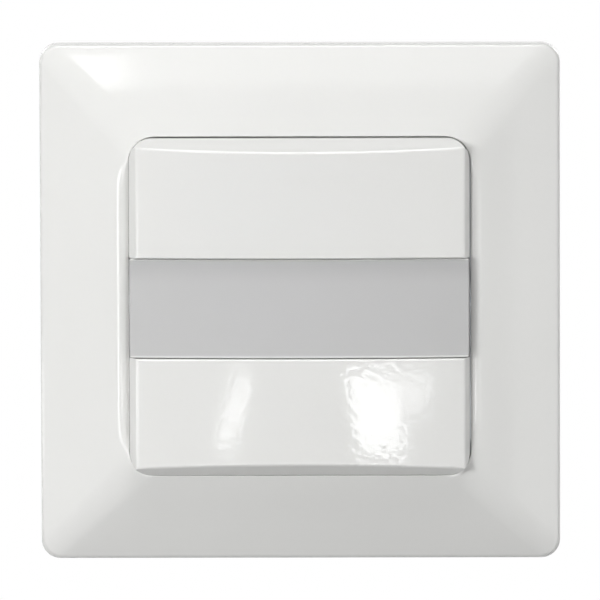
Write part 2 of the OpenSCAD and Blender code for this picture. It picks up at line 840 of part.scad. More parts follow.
module board_header() {
    color("dimgray") on_wall() {
        translate([header_x, header_y, 0])
            block(header_pins * header_pitch, header_pitch, power_front, sensor_rear);
        at_header() block(header_pin, header_pin, power_rear - header_out, sensor_front);
    }
}

module pir_sensor() {
    top = sensor_front + pir_h;
    color("silver") on_wall() difference() {
        union() {
            rod(pir_flange_r, sensor_front, sensor_front + 0.5);
            rod(pir_r, sensor_front, top);
        }
        block(pir_window_w, pir_window_h, top - pir_window_t, top + past);
    }
}

module pir_window() {
    top = sensor_front + pir_h;
    color("darkslategray") on_wall() block(pir_window_w, pir_window_h, top - pir_window_t, top);
}

module indicator_led() {
    color("firebrick") on_wall() translate([-eye_x, 0, sensor_front]) {
        rod(led_r + 0.3, 0, 1);
        rod(led_r, 0, led_h);
        intersection() {
            translate([0, 0, led_h]) sphere(led_r);
            rod(led_r + past, led_h - overlap, led_h + 2 * led_r);
        }
    }
}

module light_sensor() {
    color("darkorange") on_wall() translate([eye_x, 0, sensor_front]) {
        rod(cell_r, 0, cell_h - 0.4);
        rod(cell_r - 0.4, 0, cell_h);
    }
}

module control_chip() {
    leads = floor(chip_l / chip_lead_pitch + 0.5);
    color("dimgray") on_wall() translate([0, chip_y, sensor_front]) {
        block(chip_l, chip_w, chip_stand, chip_h);
        for (k = [0 : leads - 1], s = [-1, 1])
            translate([(k - (leads - 1) / 2) * chip_lead_pitch, s * (chip_w + chip_lead_l) / 2, 0]) {
                block(chip_lead_w, chip_lead_l, 0, chip_lead_t);
                translate([0, -s * chip_lead_l / 3, 0])
                    block(chip_lead_w, 0.7 * chip_lead_l, 0, chip_h / 2);
            }
    }
}

module trimmer_base(x) {
    color("royalblue") on_wall() translate([x, -trimmer_y, 0])
        block(trimmer_side, trimmer_side, sensor_front, sensor_front + trimmer_base_h);
}

module trimmer_rotor(x) {
    top = deck_top - rotor_sink;
    color("white") on_wall() translate([x, -trimmer_y, 0]) difference() {
        rod(rotor_r, sensor_front + trimmer_base_h, top);
        block(rotor_slot_w, 1.5 * rotor_r, top - rotor_slot_d, top + past);
        block(1.5 * rotor_r, rotor_slot_w, top - rotor_slot_d, top + past);
        translate([0, rotor_r, 0]) block(rotor_slot_w, rotor_r / 2, top - rotor_slot_d / 2, top + past);
    }
}

module time_trimmer_base() { trimmer_base(-trimmer_x); }
module time_trimmer_rotor() { trimmer_rotor(-trimmer_x); }
module lux_trimmer_base() { trimmer_base(trimmer_x); }
module lux_trimmer_rotor() { trimmer_rotor(trimmer_x); }

module relay() {
    color("midnightblue") on_wall() translate([relay_x, relay_y, 0])
        slab(relay_l, relay_w, case_edge_r, power_rear - relay_h, power_rear);
}

module film_capacitor() {
    color("goldenrod") on_wall() translate([film_x, film_y, 0])
        slab(film_l, film_w, case_edge_r, power_rear - film_h, power_rear);
}

module electrolytic_capacitor() {
    groove = lytic_h - lytic_groove;
    color("darkslateblue") on_wall() translate([lytic_x, lytic_y, power_rear - lytic_h])
        rotate_extrude() polygon([
            [0, lytic_bevel], [lytic_r * 0.8, lytic_bevel], [lytic_r * 0.85, 0],
            [lytic_r - lytic_bevel, 0], [lytic_r, lytic_bevel],
            [lytic_r, groove - lytic_groove_r], [lytic_r - lytic_groove_r, groove],
            [lytic_r, groove + lytic_groove_r],
            [lytic_r, lytic_h - lytic_bevel], [lytic_r - lytic_bevel, lytic_h], [0, lytic_h]
        ]);
}

module varistor() {
    half = varistor_t / 2;
    color("steelblue") on_wall() translate([varistor_x, varistor_y, power_rear - varistor_r - past]) {
        rotate([0, 90, 0]) rotate_extrude() polygon([
            [0, -half], [varistor_r - varistor_bevel, -half], [varistor_r, varistor_bevel - half],
            [varistor_r, half - varistor_bevel], [varistor_r - varistor_bevel, half], [0, half]
        ]);
        for (s = [-1, 1]) translate([0, s * varistor_r / 2, 0]) rod(lead_r, 0, varistor_r + past);
    }
}

module fusible_resistor() {
    reach = resistor_l / 2 + 1.2;
    color("peru") on_wall() translate([resistor_x, resistor_y, power_rear - resistor_r - lead_r]) {
        rotate([0, 90, 0]) {
            rod(resistor_r, -resistor_l / 2, resistor_l / 2);
            rod(lead_r, -reach, reach);
        }
        for (s = [-1, 1]) translate([s * reach, 0, 0]) {
            rod(lead_r, 0, resistor_r + lead_r);
            sphere(lead_r);
        }
    }
}

// Terminals, whose screws point forward from the rear of the housing

module terminal_block() {
    cell_top = wire_side + term_wall;
    cell_back = block_back - term_web / 2;
    color("darkgreen") on_wall() difference() {
        translate([-block_half, wire_side, block_end])
            cube([2 * block_half, term_d, power_rear - block_end]);
        for (k = [0 : 2]) at_terminal(k) {
            translate([-cell_w / 2, cell_top, shoulder_level])
                cube([cell_w, cell_back - cell_top, power_rear - shoulder_level + past]);
            translate([0, term_screw_y, 0]) {
                rod(term_screw_r + screw_fit, head_level - past, shoulder_level + past);
                rod(term_head_r + screw_fit, block_end - past, head_level);
            }
            translate([0, wire_side + term_wall / 2, wire_level])
                rotate([90, 0, 0]) cylinder(r = wire_r, h = term_wall + past, center = true);
        }
    }
}

module terminal_contacts() {
    front = wire_side + term_wall + cage_fit;
    width = cell_w - 2 * (2 * cage_fit + cage_side);
    color("gold") on_wall() for (k = [0 : 2]) at_terminal(k) {
        translate([-width / 2, front, contact_end])
            cube([width, contact_pin_y + contact_pin / 2 - front, contact_t]);
        translate([0, contact_pin_y, 0])
            block(contact_pin, contact_pin, contact_end, power_front + header_out);
    }
}

module terminal_cage(k) {
    color("lightsteelblue") on_wall() at_terminal(k) translate([0, term_screw_y, 0]) difference() {
        block(cage_w, cage_l, cage_end, cage_foot);
        block(cage_w - 2 * cage_side, cage_l + past, upper_bar, gap_floor);
        rod(term_screw_r + thread_fit, cage_end - past, upper_bar + past);
    }
}

module terminal_screw(k) {
    color("silver") on_wall() at_terminal(k) translate([0, term_screw_y, head_level]) rotate([180, 0, 0])
        screw(term_screw_r, term_head_r, term_head_h, upper_bar - head_level, false);
}

module terminal_cage_1() { terminal_cage(0); }
module terminal_cage_2() { terminal_cage(1); }
module terminal_cage_3() { terminal_cage(2); }
module terminal_screw_1() { terminal_screw(0); }
module terminal_screw_2() { terminal_screw(1); }
module terminal_screw_3() { terminal_screw(2); }

// Claws, drawn for the right side about the pin, which lies along Y

module claw() {
    slot_half = claw_screw_r + 0.2;
    slot_end = claw_screw_out + claw_screw_r + 0.6;
    teeth = 4;
    tooth = claw_w / teeth;
    translate([claw_x, 0, -claw_deep]) difference() {
        along_y(claw_w) {
            circle(claw_eye_r);
            translate([-claw_t / 2, -claw_l]) square([claw_t, claw_l]);
            translate([0, -claw_tab_d - claw_t / 2]) square([slot_end + 0.8, claw_t]);
            translate([0, -claw_l]) square([claw_foot, claw_t]);
        }
        along_y(claw_w + past) circle(pin_r + pin_fit);
        translate([(slot_end - 2 * claw_t) / 2, 0, 0])
            block(slot_end + 2 * claw_t, 2 * slot_half, -claw_l + 3 * claw_t, -claw_eye_r - 0.1);
        for (k = [0 : teeth])
            translate([claw_foot, (k - teeth / 2) * tooth, -claw_l - past])
                linear_extrude(claw_t + 2 * past)
                    polygon([
                        [past, -tooth / 2], [past, tooth / 2], [0, tooth / 2],
                        [-1, 0], [0, -tooth / 2]
                    ]);
    }
}

module claw_right() { color("silver") on_wall() claw(); }
module claw_left() { color("silver") on_wall() mirror([1, 0, 0]) claw(); }

module claw_screw(side) {
    color("silver") on_wall() translate([side * claw_screw_x, 0, plate_t])
        screw(claw_screw_r, claw_head_r, claw_head_h, claw_screw_l + plate_t, true);
}

module claw_screw_right() { claw_screw(1); }
module claw_screw_left() { claw_screw(-1); }

module claw_pins() {
    color("gray") on_wall() for (s = [-1, 1])
        along_y(claw_w + 2 * (lug_gap + lug_t)) translate([s * claw_x, -claw_deep]) circle(pin_r);
}

cover_frame();
front_cover();
lens();
lens_holder();
support_plate();
housing_front();
housing_rear();
housing_screws();
sensor_board();
power_board();
board_header();
pir_sensor();
pir_window();
indicator_led();
light_sensor();
control_chip();
time_trimmer_base();
time_trimmer_rotor();
lux_trimmer_base();
lux_trimmer_rotor();
relay();
film_capacitor();
electrolytic_capacitor();
varistor();
fusible_resistor();
terminal_block();
terminal_contacts();
terminal_cage_1();
terminal_cage_2();
terminal_cage_3();
terminal_screw_1();
terminal_screw_2();
terminal_screw_3();
claw_left();
claw_right();
claw_screw_left();
claw_screw_right();
claw_pins();
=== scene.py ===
import math
import bpy
import bmesh
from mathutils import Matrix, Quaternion, Vector


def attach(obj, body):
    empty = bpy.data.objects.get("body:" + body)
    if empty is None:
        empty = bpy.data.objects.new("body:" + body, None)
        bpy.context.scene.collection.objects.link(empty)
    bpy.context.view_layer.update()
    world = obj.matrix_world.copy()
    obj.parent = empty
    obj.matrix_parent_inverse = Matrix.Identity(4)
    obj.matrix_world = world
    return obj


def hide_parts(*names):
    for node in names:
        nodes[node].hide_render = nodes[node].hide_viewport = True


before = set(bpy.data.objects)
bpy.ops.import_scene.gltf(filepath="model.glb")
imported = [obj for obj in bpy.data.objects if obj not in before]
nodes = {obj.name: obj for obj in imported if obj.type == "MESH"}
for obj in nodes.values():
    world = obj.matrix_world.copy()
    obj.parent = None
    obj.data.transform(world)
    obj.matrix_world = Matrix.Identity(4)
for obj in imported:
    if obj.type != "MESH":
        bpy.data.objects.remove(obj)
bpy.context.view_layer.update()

mm = 0.001
weld = 0.000001  # in metres: points this near count as one
touch = 0.01  # in mm: how near a point has to be to a place where it is looked for
print("frame loaded with", len(nodes), "nodes")


# small tools: selecting, editing and finishing pieces

def startFresh():
    if bpy.context.object and bpy.context.object.mode != "OBJECT":
        bpy.ops.object.mode_set(mode="OBJECT")
    bpy.ops.object.select_all(action="DESELECT")


def focus(piece):
    startFresh()
    piece.select_set(True)
    bpy.context.view_layer.objects.active = piece


def openEdit(piece):
    focus(piece)
    bpy.ops.object.mode_set(mode="EDIT")


def closeEdit():
    bpy.ops.object.mode_set(mode="OBJECT")


def pickAll():
    bpy.ops.mesh.select_all(action="SELECT")


# selects the points, edges or faces that pass a test
def pick(kind, test):
    piece = bpy.context.edit_object
    bpy.ops.mesh.select_mode(type=kind)
    bpy.ops.mesh.select_all(action="DESELECT")
    cage = bmesh.from_edit_mesh(piece.data)
    cage.normal_update()
    items = {"VERT": cage.verts, "EDGE": cage.edges, "FACE": cage.faces}[kind]
    for item in items:
        if test(item):
            item.select_set(True)
    cage.select_flush_mode()
    bmesh.update_edit_mesh(piece.data)


# a point's place in mm; its level is how far it stands out from the wall
def across(point):
    return point.co.x / mm


def level(point):
    return -point.co.y / mm


def height(point):
    return point.co.z / mm


# tests for edges and faces
def ends(edge, test):
    return all(test(v) for v in edge.verts)


def runs(edge, measure, least=1.0):
    return abs(measure(edge.verts[0]) - measure(edge.verts[1])) > least


def sharp(edge, degrees):
    return len(edge.link_faces) == 2 and edge.calc_face_angle(0) > math.radians(degrees)


def facesWall(face, least=0.9):
    return face.normal.y > least


def facesRoom(face, least=0.9):
    return face.normal.y < -least


def upright(face, most=0.02):
    return abs(face.normal.y) < most


def leaning(face, least=0.3, most=0.9):
    return least < -face.normal.y < most


# edits to what is picked
def shift(x=0.0, outward=0.0, z=0.0):
    bpy.ops.transform.translate(value=(x * mm, -outward * mm, z * mm))


def drawOut(outward=0.0):
    bpy.ops.mesh.extrude_region_move(
        TRANSFORM_OT_translate={"value": (0, -outward * mm, 0)})


def roundOff(size, steps, kind="EDGES"):
    bpy.ops.mesh.bevel(offset=size * mm, segments=steps, affect=kind)


def cutAt(point, direction, **more):
    bpy.ops.mesh.bisect(plane_co=[p * mm for p in point], plane_no=direction,
                        threshold=weld, **more)


# cuts away what lies outside a plane, given by a point on it and its outward direction
def trim(point, outward):
    pickAll()
    cutAt(point, outward, use_fill=True, clear_outer=True)


# a box between two corners, given across, as levels above the wall, and up
def addBox(name, xs, levels, zs):
    startFresh()
    sizes = [abs(b - a) * mm for a, b in (xs, levels, zs)]
    middle = [sum(pair) / 2 * mm for pair in (xs, levels, zs)]
    bpy.ops.mesh.primitive_cube_add(
        size=1, location=(middle[0], -middle[1], middle[2]), scale=sizes)
    piece = bpy.context.object
    piece.name = name
    bpy.ops.object.transform_apply(location=True, rotation=True, scale=True)
    return piece


# an upright square sheet in the plane of the wall
def addSheet(name, size):
    startFresh()
    bpy.ops.mesh.primitive_plane_add(size=size * mm, rotation=(math.pi / 2, 0, 0))
    piece = bpy.context.object
    piece.name = name
    bpy.ops.object.transform_apply(rotation=True)
    return piece


def applyModifier(piece, kind, **settings):
    focus(piece)
    modifier = piece.modifiers.new(kind.lower(), kind)
    for key, value in settings.items():
        setattr(modifier, key, value)
    bpy.ops.object.modifier_apply(modifier=modifier.name)


def joinInto(piece, others):
    focus(piece)
    for other in others:
        other.select_set(True)
    bpy.ops.object.join()


def settle(piece, move):
    openEdit(piece)
    pickAll()
    bpy.ops.transform.translate(value=[m * mm for m in move])
    closeEdit()


def copyOf(piece, move=(0, 0, 0)):
    focus(piece)
    bpy.ops.object.duplicate()
    twin = bpy.context.object
    settle(twin, move)
    return twin


# a piece at the upper right and its copies at the other three corners
def atCorners(piece, left, down):
    moves = ((left, 0, 0), (0, 0, down), (left, 0, down))
    return [piece] + [copyOf(piece, move) for move in moves]


def outwardFaces(piece):
    openEdit(piece)
    pickAll()
    bpy.ops.mesh.remove_doubles(threshold=weld)
    bpy.ops.mesh.normals_make_consistent(inside=False)
    closeEdit()


def smoothLook(piece, degrees=32):
    focus(piece)
    bpy.ops.object.shade_smooth_by_angle(angle=math.radians(degrees))
    applyModifier(piece, "WEIGHTED_NORMAL", mode="FACE_AREA", weight=50, keep_sharp=True)


# cover frame: one rounded loop is drawn out ring by ring round its section

frameForm = {
    "half": 42.0, "outerRadius": 3.1, "openHalf": 27.6, "openRadius": 4.2,
    "rim": 2.6, "rimEdge": 1.0, "rimTurn": 65, "rimSteps": 7,
    "lip": 8.0, "bow": 0.12, "slopeSteps": 9, "lipEdge": 0.16, "lipSteps": 3,
    "wall": 1.8, "skirtLevel": 4.4, "skirtWall": 1.5, "cornerSteps": 14,
    "easeWidth": 1.9, "easeSteps": 8, "easeRound": 1.6, "easeDepth": {-1: 1.0, 1: 0.55},
    "ease": ((18.4, 1.0), (19.8, 0.97), (21.0, 0.87),
             (21.9, 0.68), (22.6, 0.43), (23.15, 0.17)),
    "tongueOuter": 34.0, "tongueThick": 1.5, "tongueUp": 17.0, "tongueWidth": 8.0,
    "ribThick": 1.2, "ribPlay": 0.15, "ribFoot": 1.9, "ribEdge": 0.25, "ribSteps": 3,
}


# inset and level of a point on the rounded outer rim
def rimPoint(form, degrees):
    turn = math.radians(180 - degrees)
    return (form["rimEdge"] * (1 + math.cos(turn)),
            form["rim"] - form["rimEdge"] * (1 - math.sin(turn)))


def slopeLevel(form, inset):
    foot, footLevel = rimPoint(form, form["rimTurn"])
    t = (inset - foot) / (form["half"] - form["openHalf"] - foot)
    return footLevel + (form["lip"] - footLevel) * (t + form["bow"] * t * (1 - t))


# the section as insets and levels: up the rim and the slope, over the lip, back inside
def frameRings(form):
    opening = form["half"] - form["openHalf"]
    rings = [(0.0, form["rim"] - form["rimEdge"])]
    for k in range(1, form["rimSteps"] + 1):
        rings.append(rimPoint(form, form["rimTurn"] * k / form["rimSteps"]))
    foot = rings[-1][0]
    run = opening - form["easeWidth"] - foot
    for k in range(1, form["slopeSteps"] + 1):
        inset = foot + run * k / form["slopeSteps"]
        rings.append((inset, slopeLevel(form, inset)))
    edge = form["lipEdge"]
    for k in range(1, form["easeSteps"]):
        inset = opening - edge - (form["easeWidth"] - edge) * (1 - k / form["easeSteps"])
        rings.append((inset, slopeLevel(form, inset)))
    top = slopeLevel(form, opening - edge)
    for k in range(form["lipSteps"] + 1):
        turn = math.radians(90 * k / form["lipSteps"])
        rings.append((opening - edge + edge * math.sin(turn), top - edge + edge * math.cos(turn)))
    inner, wall = opening - form["skirtWall"], form["wall"]
    rings += [(opening, form["skirtLevel"]), (inner, form["skirtLevel"]),
              (inner, slopeLevel(form, inner) - wall),
              (wall, slopeLevel(form, wall) - wall),
              (wall, 0.0), (0.0, 0.0)]
    return rings


# eases the left and right edge of the opening, narrowing to nothing at the corners
def easeOpening(piece, form):
    openHalf, edge, wide = form["openHalf"], form["lipEdge"], form["easeWidth"]
    beside, below = 0.1, 1.6  # in mm: how far past the opening and below the lip to look
    openEdit(piece)
    for z, _ in form["ease"]:
        for up in (-z, z):
            pick("FACE", lambda f: abs(f.calc_center_median().z) < openHalf * mm
                 and all(abs(across(v)) > openHalf - beside for v in f.verts))
            cutAt((0, 0, up), (0, 0, 1))
    steps = form["easeSteps"]
    rows = [0.0] + [edge + (wide - edge) * k / steps for k in range(1, steps)]
    for z, part in form["ease"]:
        for away in rows:
            reach = edge + touch if away == 0 else touch
            near = max(0.0, 1 - away / (wide * part))
            for side, depth in form["easeDepth"].items():
                pick("VERT", lambda v: abs(abs(height(v)) - z) < touch
                     and level(v) > form["lip"] - below
                     and abs(across(v) * side - openHalf - away) < reach)
                shift(outward=-depth * part * near ** form["easeRound"])
    closeEdit()


def makeFrame(form):
    half, opening = form["half"], form["half"] - form["openHalf"]

    def cornerRadius(inset):
        return form["outerRadius"] + (form["openRadius"] - form["outerRadius"]) * inset / opening

    piece = addSheet("coverFrame", 2 * half)
    openEdit(piece)
    pickAll()
    roundOff(form["outerRadius"], form["cornerSteps"], "VERTICES")
    pickAll()
    bpy.ops.mesh.delete(type="ONLY_FACE")
    pickAll()
    oldInset, oldLevel = 0.0, 0.0
    for inset, ringLevel in frameRings(form):
        drawOut(ringLevel - oldLevel)
        cage = bmesh.from_edit_mesh(piece.data)
        fresh = {v.index for v in cage.verts if v.select}
        oldRadius, radius = cornerRadius(oldInset), cornerRadius(inset)
        step = (inset - oldInset) + (radius - oldRadius)
        grow = radius / oldRadius
        centre = (half - inset - radius) * mm
        for sx in (-1, 1):
            for sz in (-1, 1):
                pick("VERT", lambda v: v.index in fresh and v.co.x * sx > 0 and v.co.z * sz > 0)
                shift(x=-sx * step, z=-sz * step)
                bpy.ops.transform.resize(value=(grow, 1, grow),
                                         center_override=(sx * centre, 0, sz * centre))
        pick("VERT", lambda v: v.index in fresh)
        oldInset, oldLevel = inset, ringLevel
    closeEdit()
    outwardFaces(piece)
    easeOpening(piece, form)
    smoothLook(piece)
    return piece


# ribs behind the slope, one on each side of the plate's tongues
def makeGripRibs(form):
    ribs = []
    thick, foot = form["ribThick"], form["ribFoot"]
    up, wide = form["tongueUp"], form["tongueWidth"] / 2
    outside = form["tongueOuter"] + form["ribPlay"]
    inside = form["tongueOuter"] - form["tongueThick"] - form["ribPlay"] - thick
    for inner in (outside, inside):
        top = slopeLevel(form, form["half"] - inner - thick) - form["wall"] / 2
        rib = addBox("gripRib", (inner, inner + thick), (foot, top), (up - wide, up + wide))
        openEdit(rib)
        pick("EDGE", lambda e: ends(e, lambda v: level(v) < foot + touch))
        roundOff(form["ribEdge"], form["ribSteps"])
        closeEdit()
        ribs += atCorners(rib, -2 * inner - thick, -2 * up)
    return ribs


coverFrame = makeFrame(frameForm)
joinInto(coverFrame, makeGripRibs(frameForm))
print("cover frame modelled")


# front cover: two bowed plates, the rails beside the lens and four prongs

coverForm = {
    "half": 27.48, "corner": 3.7, "skirt": 4.2, "shoulder": 8.05, "crown": 11.0,
    "bowRadius": 373.1, "bowReach": 24.75, "bowCuts": 33, "bowTries": 6,
    "endLean": 0.7, "leftLean": 0.60, "rightLean": 0.40,
    "bandHalf": 8.15, "wall": 1.6, "roomLevel": 8.2, "cornerSteps": 14,
    "faceEdge": 0.34, "sideEdge": 0.25, "edgeSteps": 4, "cornerClear": 1.3,
    "settle": (-0.07, 0.0, -0.09), "railTop": 6.4, "railEdge": 0.2, "railSteps": 3,
    "prongX": 15.0, "prongUp": 22.2, "prongLong": 5.0, "prongThick": 2.4,
    "prongTip": 1.9, "prongEdge": 0.5, "prongSteps": 3,
    "socketTop": 6.4, "socketWall": 0.9, "socketSink": 0.05,
}


def crownLevel(form, x):
    return form["crown"] - (form["bowRadius"] - math.sqrt(form["bowRadius"] ** 2 - x * x))


# for each side of the plate: where its flat edge lies, and how far the bow sets it out and back
def bowedSides(form, leans):
    sides = []
    for side, lean in leans.items():
        edgeAt = form["half"] - lean * (form["crown"] - form["shoulder"])
        drop = 0.9  # a first guess, which closes in on the bow
        for _ in range(form["bowTries"]):
            drop = form["crown"] - crownLevel(form, edgeAt + lean * drop)
        sides.append((side, edgeAt, lean * drop, drop))
    return sides


# lines down the flat face, then each is set back to the bow along the leaning planes
def bowFace(form, sides, endUp):
    crown, faceEdge = form["crown"], form["faceEdge"]
    lineRoom, sideRoom, topRoom, endRoom = 0.002, 0.06, 0.08, 0.15  # in mm, for the picking
    top, endFoot = crown - faceEdge - topRoom, endUp - faceEdge - endRoom
    cuts = form["bowCuts"]
    columns = [form["bowReach"] * (2 * k / cuts - 1) for k in range(cuts + 1)]
    for x in columns:
        pick("FACE", lambda f: all(level(v) > top for v in f.verts))
        cutAt((x, 0, 0), (1, 0, 0))
    groups = [(lambda v, x=x: abs(across(v) - x) < lineRoom, 0.0, crown - crownLevel(form, x))
              for x in columns]
    groups += [(lambda v, side=side, edgeAt=edgeAt:
                across(v) * side > edgeAt - faceEdge - sideRoom, side * out, drop)
               for side, edgeAt, out, drop in sides]
    for inGroup, out, back in groups:
        pick("VERT", lambda v: inGroup(v) and level(v) > top and height(v) > endFoot)
        shift(x=out, outward=-back, z=form["endLean"] * back)
        pick("VERT", lambda v: inGroup(v) and level(v) > top and height(v) <= endFoot)
        shift(x=out, outward=-back)


def makeUpperPlate(form):
    half, shoulder, crown = form["half"], form["shoulder"], form["crown"]
    endLean, leans = form["endLean"], {-1: form["leftLean"], 1: form["rightLean"]}
    endUp = half - endLean * (crown - shoulder)
    creaseFrom, frontFrom = 25, 0.98  # degrees, and how squarely a face looks to the room
    shoulderRoom, bandRoom = 0.05, 1.0  # in mm, for the picking
    piece = addBox("frontCover", (-half, half), (form["skirt"], crown), (form["bandHalf"], half))
    openEdit(piece)
    # hollow behind
    pick("FACE", facesWall)
    bpy.ops.mesh.inset(thickness=form["wall"] * mm)
    drawOut(form["roomLevel"] - form["skirt"])
    # the leaning end and sides
    trim((0, -shoulder, half), (0, -endLean, 1))
    for side, lean in leans.items():
        trim((side * half, -shoulder, 0), (side, -lean, 0))
    # the edges are softened while the face is still flat
    pick("EDGE", lambda e: sharp(e, creaseFrom)
         and sum(facesRoom(f, frontFrom) for f in e.link_faces) == 1)
    roundOff(form["faceEdge"], form["edgeSteps"])
    sides = bowedSides(form, leans)
    bowFace(form, sides, endUp)
    # round the outer corners, then soften the shoulder, leaving the hips sharp
    middle, radius = half - form["corner"], form["corner"]
    for side in leans:
        for k in range(form["cornerSteps"]):
            turn = math.radians(90 * (k + 0.5) / form["cornerSteps"])
            x, z = math.cos(turn), math.sin(turn)
            trim((side * (middle + radius * x), 0, middle + radius * z), (side * x, 0, z))
    hips = [(side * (edgeAt + out), endUp + endLean * drop) for side, edgeAt, out, drop in sides]

    def clearOfHips(v):
        place = (across(v), height(v))
        return all(math.dist(place, hip) > form["cornerClear"] for hip in hips)

    pick("EDGE", lambda e: ends(e, lambda v: level(v) > shoulder - shoulderRoom and clearOfHips(v))
         and any(height(v) > form["bandHalf"] + bandRoom for v in e.verts)
         and any(upright(f) for f in e.link_faces)
         and any(leaning(f) for f in e.link_faces))
    roundOff(form["sideEdge"], form["edgeSteps"])
    closeEdit()
    return piece


# a prong that widens into its foot behind the plate
def makeProng(form):
    long, thick, wall = form["prongLong"] / 2, form["prongThick"] / 2, form["socketWall"]
    x, z, tip = form["prongX"], form["prongUp"], form["prongTip"]
    prong = addBox("prong", (x - long, x + long), (tip, form["socketTop"]), (z - thick, z + thick))
    openEdit(prong)
    pick("EDGE", lambda e: ends(e, lambda v: level(v) < tip + touch))
    roundOff(form["prongEdge"], form["prongSteps"])
    pick("FACE", facesRoom)
    drawOut()
    bpy.ops.transform.resize(value=((long + wall) / long, 1, (thick + wall) / thick),
                             center_override=(x * mm, 0, z * mm))
    drawOut(form["roomLevel"] - form["socketTop"] + form["socketSink"])
    closeEdit()
    return prong


def makeCover(form):
    half, band, wall = form["half"], form["bandHalf"], form["wall"]
    upper = makeUpperPlate(form)
    lower = copyOf(upper)
    openEdit(lower)
    pickAll()
    bpy.ops.transform.resize(value=(1, 1, -1), center_override=(0, 0, 0))
    bpy.ops.mesh.flip_normals()
    closeEdit()
    rail = addBox("rail", (half - wall, half), (form["skirt"], form["railTop"]), (-band, band))
    openEdit(rail)
    pick("EDGE", lambda e: runs(e, height)
         and ends(e, lambda v: level(v) > form["railTop"] - touch))
    roundOff(form["railEdge"], form["railSteps"])
    closeEdit()
    joinInto(upper, [lower, rail, copyOf(rail, (-2 * half + wall, 0, 0))])
    settle(upper, form["settle"])
    joinInto(upper, atCorners(makeProng(form), -2 * form["prongX"], -2 * form["prongUp"]))
    smoothLook(upper)
    return upper


frontCover = makeCover(coverForm)
print("front cover modelled")


# lens: a bowed strip with a leg at each end, which stands on the rail

lensForm = {
    "half": 27.42, "tall": 16.06, "recess": 0.4, "wall": 0.9, "foot": 6.4, "steps": 40,
    "corner": 0.5, "cornerSteps": 4, "edge": 0.22, "edgeSteps": 3, "edgeFrom": 50,
}


def makeLens(form, cover):
    half, tall = form["half"], form["tall"]
    endRoom, footRoom = 0.05, 1.0  # in mm, for the picking
    radius = cover["bowRadius"] - form["recess"]
    turn = math.asin(half / radius)
    front = crownLevel(cover, 0) - form["recess"]
    edgeLevel = front - radius * (1 - math.cos(turn))
    piece = addSheet("sensorLens", tall)
    openEdit(piece)
    # only the sheet's left edge stays, and is swept along the bow
    pick("VERT", lambda v: v.co.x > 0)
    bpy.ops.mesh.delete(type="VERT")
    pickAll()
    shift(x=tall / 2 - half, outward=edgeLevel)
    pick("EDGE", lambda e: True)
    bpy.ops.mesh.spin(steps=form["steps"], angle=-2 * turn, axis=(0, 0, 1),
                      center=(0, -(front - radius) * mm, 0))
    for side in (-1, 1):
        pick("EDGE", lambda e: ends(e, lambda v: across(v) * side > half - endRoom))
        drawOut(form["foot"] - edgeLevel)
    closeEdit()
    outwardFaces(piece)
    # the strip is open, so its faces may all look the wrong way
    openEdit(piece)
    cage = bmesh.from_edit_mesh(piece.data)
    cage.normal_update()
    middle = min(cage.faces, key=lambda f: abs(f.calc_center_median().x))
    if middle.normal.y > 0:
        pickAll()
        bpy.ops.mesh.flip_normals()
    closeEdit()
    applyModifier(piece, "SOLIDIFY", thickness=form["wall"] * mm, offset=-1, use_even_offset=True)
    openEdit(piece)
    pick("EDGE", lambda e: runs(e, level) and ends(
        e, lambda v: abs(across(v)) > half - endRoom and abs(height(v)) > tall / 2 - endRoom))
    roundOff(form["corner"], form["cornerSteps"])
    pick("EDGE", lambda e: sharp(e, form["edgeFrom"])
         and ends(e, lambda v: level(v) > form["foot"] + footRoom))
    roundOff(form["edge"], form["edgeSteps"])
    closeEdit()
    settle(piece, cover["settle"])
    smoothLook(piece)
    return piece


sensorLens = makeLens(lensForm, coverForm)
print("lens modelled")


# pieces that keep the CAD shape and only have their edges softened

softForm = {
    "relay": {"piece": "relayCase", "edge": 0.40, "steps": 2, "edgeFrom": 40},
    "film_capacitor": {"piece": "filmCase", "edge": 0.35, "steps": 2, "edgeFrom": 40},
    "lens_holder": {"piece": "lensHolder", "edge": 0.15, "steps": 2, "edgeFrom": 40},
}
housingForm = {"piece": "rearHousing", "edge": 0.6, "steps": 4, "corner": 4.0}


def mergedCopy(nodeName, pieceName):
    piece = bpy.data.objects.new(pieceName, nodes[nodeName].data.copy())
    bpy.context.scene.collection.objects.link(piece)
    openEdit(piece)
    pickAll()
    bpy.ops.mesh.remove_doubles(threshold=weld)
    closeEdit()
    return piece


def softenEdges(nodeName, form, flatWithin=1):
    piece = mergedCopy(nodeName, form["piece"])
    openEdit(piece)
    pickAll()
    bpy.ops.mesh.dissolve_limited(angle_limit=math.radians(flatWithin))
    closeEdit()
    applyModifier(piece, "BEVEL", width=form["edge"] * mm, segments=form["steps"],
                  limit_method="ANGLE", angle_limit=math.radians(form["edgeFrom"]),
                  use_clamp_overlap=True)
    smoothLook(piece)
    return piece


